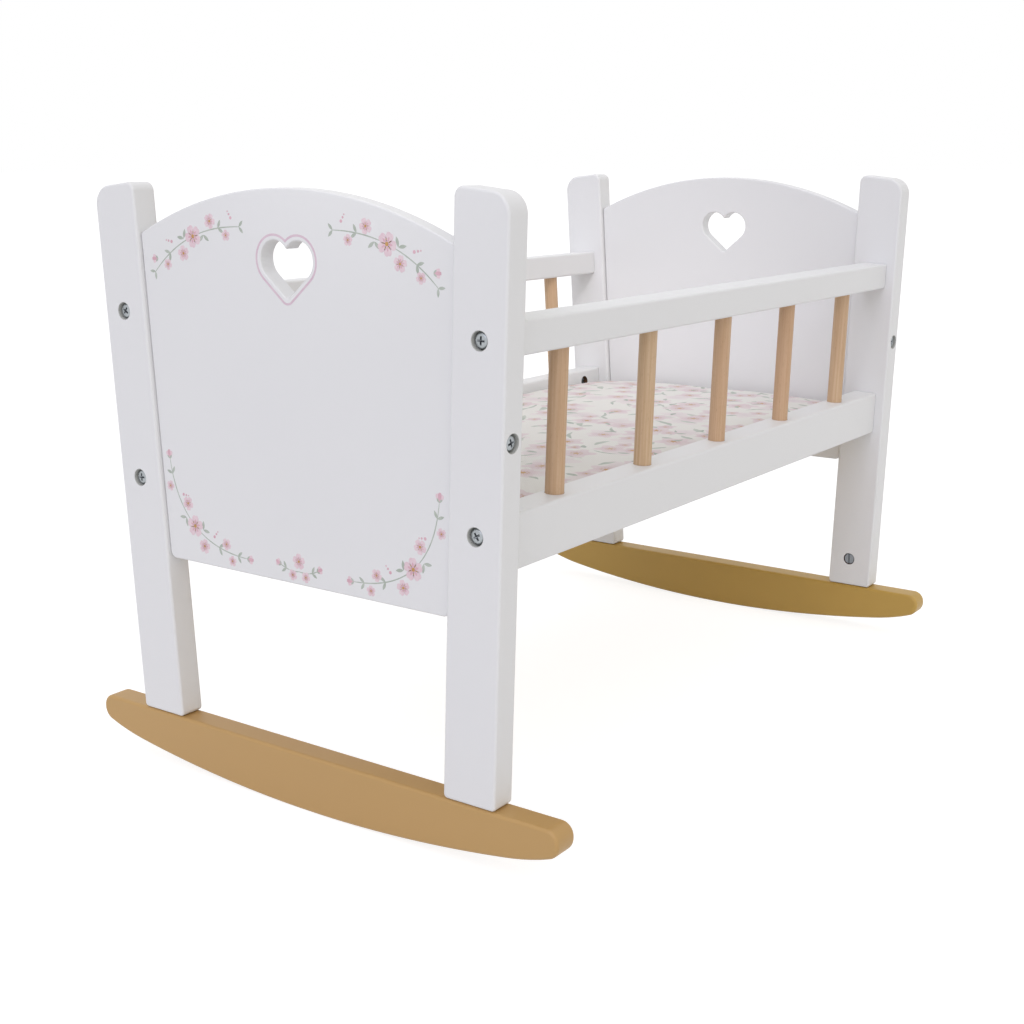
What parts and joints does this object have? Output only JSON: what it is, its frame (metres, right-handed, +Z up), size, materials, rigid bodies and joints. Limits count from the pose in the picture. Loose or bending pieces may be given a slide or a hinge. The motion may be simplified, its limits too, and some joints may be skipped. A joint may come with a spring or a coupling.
{
  "type": "doll cradle",
  "caption": "Rocking doll cradle: leaning posts on curved rockers, arched end panels with heart cut-outs, dowelled side rails and a loose padded mattress.",
  "frame": {"origin": "on the floor, under the middle of the cradle", "axes": "+X along the cradle from the near (decorated) end panel to the far one, +Y to the cradle's left side, +Z up"},
  "size_m": [0.4704, 0.3344, 0.3357],
  "materials": {
    "white_painted_wood": "satin white paint with softly rounded edges",
    "tan_painted_wood": "satin golden-tan paint",
    "natural_dowel_wood": "bare sanded pale hardwood, grain along the dowel",
    "plain_board": "bare thin board",
    "zinc_plated_steel": "bright zinc plating",
    "printed_cotton": null
  },
  "bodies": {
    "cradle": {"near_right_post": "white_painted_wood", "near_left_post": "white_painted_wood", "far_right_post": "white_painted_wood", "far_left_post": "white_painted_wood", "right_lower_rail": "white_painted_wood", "right_upper_rail": "white_painted_wood", "left_lower_rail": "white_painted_wood", "left_upper_rail": "white_painted_wood", "right_dowel_1": "natural_dowel_wood", "right_dowel_2": "natural_dowel_wood", "right_dowel_3": "natural_dowel_wood", "right_dowel_4": "natural_dowel_wood", "right_dowel_5": "natural_dowel_wood", "left_dowel_1": "natural_dowel_wood", "left_dowel_2": "natural_dowel_wood", "left_dowel_3": "natural_dowel_wood", "left_dowel_4": "natural_dowel_wood", "left_dowel_5": "natural_dowel_wood", "near_end_panel": "white_painted_wood", "far_end_panel": "white_painted_wood", "near_rocker": "tan_painted_wood", "far_rocker": "tan_painted_wood", "base_board": "plain_board", "near_right_lower_rail_bolt": "zinc_plated_steel", "near_right_upper_rail_bolt": "zinc_plated_steel", "near_left_lower_rail_bolt": "zinc_plated_steel", "near_left_upper_rail_bolt": "zinc_plated_steel", "far_right_lower_rail_bolt": "zinc_plated_steel", "far_right_upper_rail_bolt": "zinc_plated_steel", "far_left_lower_rail_bolt": "zinc_plated_steel", "far_left_upper_rail_bolt": "zinc_plated_steel", "near_right_lower_rail_nut": "zinc_plated_steel", "near_right_upper_rail_nut": "zinc_plated_steel", "near_left_lower_rail_nut": "zinc_plated_steel", "near_left_upper_rail_nut": "zinc_plated_steel", "far_right_lower_rail_nut": "zinc_plated_steel", "far_right_upper_rail_nut": "zinc_plated_steel", "far_left_lower_rail_nut": "zinc_plated_steel", "far_left_upper_rail_nut": "zinc_plated_steel", "near_right_panel_screw": "zinc_plated_steel", "near_left_panel_screw": "zinc_plated_steel", "far_right_panel_screw": "zinc_plated_steel", "far_left_panel_screw": "zinc_plated_steel", "near_right_rocker_bolt": "zinc_plated_steel", "near_left_rocker_bolt": "zinc_plated_steel", "far_right_rocker_bolt": "zinc_plated_steel", "far_left_rocker_bolt": "zinc_plated_steel", "near_right_rocker_nut": "zinc_plated_steel", "near_left_rocker_nut": "zinc_plated_steel", "far_right_rocker_nut": "zinc_plated_steel", "far_left_rocker_nut": "zinc_plated_steel"},
    "mattress": {"mattress": "printed_cotton"}
  },
  "joints": [
    {"name": "mattress_lift", "type": "slide", "parent": "cradle", "child": "mattress", "axis": [0, 0, 1], "range_m": [0, 0.18]}
  ]
}
